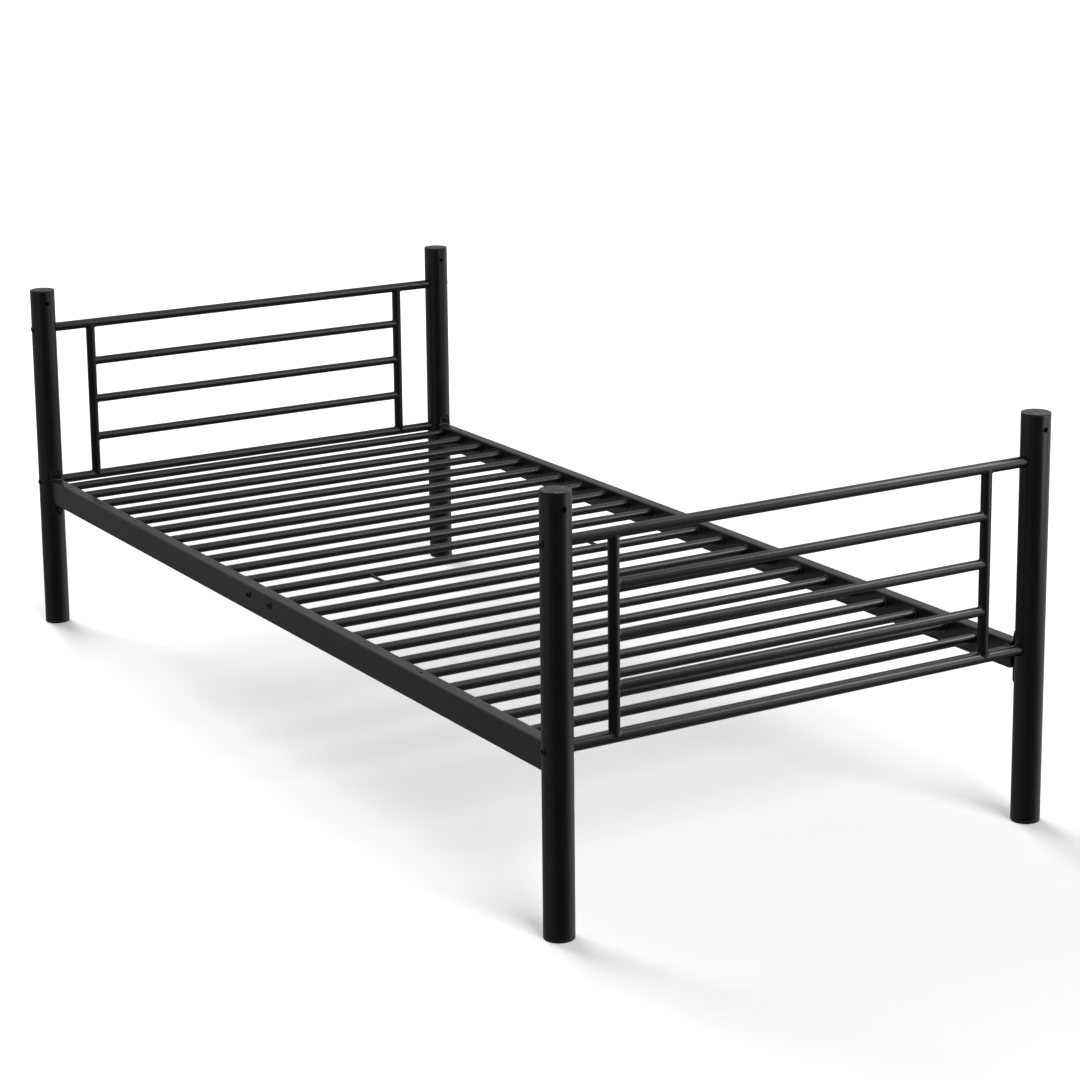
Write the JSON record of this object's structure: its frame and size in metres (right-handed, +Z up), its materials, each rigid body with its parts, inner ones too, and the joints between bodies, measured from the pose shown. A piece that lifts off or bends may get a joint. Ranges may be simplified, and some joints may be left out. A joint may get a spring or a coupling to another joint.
{
  "type": "metal bed frame",
  "caption": "Free-standing single bed frame of black tube: round corner posts, ladder end panels, box side rails and round cross slats.",
  "frame": {"origin": "on the floor, in the middle of the bed's footprint", "axes": "+X along the bed towards the foot end, +Y across it towards the right side as seen from the foot end, +Z up"},
  "size_m": [2.102, 1.007, 0.725],
  "materials": {
    "black_powder_coat": "satin black powder coat on steel tube",
    "black_plastic": "matte black moulded plastic",
    "zinc_plated_steel": "bright zinc plate"
  },
  "bodies": {
    "root": {"foot_bottom_bar": "black_powder_coat", "foot_glide_foot_left": "black_plastic", "foot_glide_foot_right": "black_plastic", "foot_glide_head_left": "black_plastic", "foot_glide_head_right": "black_plastic", "foot_mid_bar_1": "black_powder_coat", "foot_mid_bar_2": "black_powder_coat", "foot_mid_bar_3": "black_powder_coat", "foot_top_bar": "black_powder_coat", "foot_upright_left": "black_powder_coat", "foot_upright_right": "black_powder_coat", "head_bottom_bar": "black_powder_coat", "head_mid_bar_1": "black_powder_coat", "head_mid_bar_2": "black_powder_coat", "head_mid_bar_3": "black_powder_coat", "head_top_bar": "black_powder_coat", "head_upright_left": "black_powder_coat", "head_upright_right": "black_powder_coat", "panel_bolt_foot_left": "black_powder_coat", "panel_bolt_foot_right": "black_powder_coat", "post_cap_foot_left": "black_plastic", "post_cap_foot_right": "black_plastic", "post_cap_head_left": "black_plastic", "post_cap_head_right": "black_plastic", "post_foot_left": "black_powder_coat", "post_foot_right": "black_powder_coat", "post_head_left": "black_powder_coat", "post_head_right": "black_powder_coat", "rail_sleeve_left": "zinc_plated_steel", "rail_sleeve_right": "zinc_plated_steel", "side_rail_foot_left": "black_powder_coat", "side_rail_foot_right": "black_powder_coat", "side_rail_head_left": "black_powder_coat", "side_rail_head_right": "black_powder_coat", "slat_01": "black_powder_coat", "slat_02": "black_powder_coat", "slat_03": "black_powder_coat", "slat_04": "black_powder_coat", "slat_05": "black_powder_coat", "slat_06": "black_powder_coat", "slat_07": "black_powder_coat", "slat_08": "black_powder_coat", "slat_09": "black_powder_coat", "slat_10": "black_powder_coat", "slat_11": "black_powder_coat", "slat_12": "black_powder_coat", "slat_13": "black_powder_coat", "slat_14": "black_powder_coat", "slat_15": "black_powder_coat", "slat_16": "black_powder_coat", "slat_17": "black_powder_coat", "slat_18": "black_powder_coat", "slat_19": "black_powder_coat", "slat_20": "black_powder_coat", "slat_21": "black_powder_coat", "slat_22": "black_powder_coat", "slat_23": "black_powder_coat", "slat_24": "black_powder_coat", "slat_tie_left": "black_powder_coat", "slat_tie_right": "black_powder_coat"}
  },
  "joints": []
}
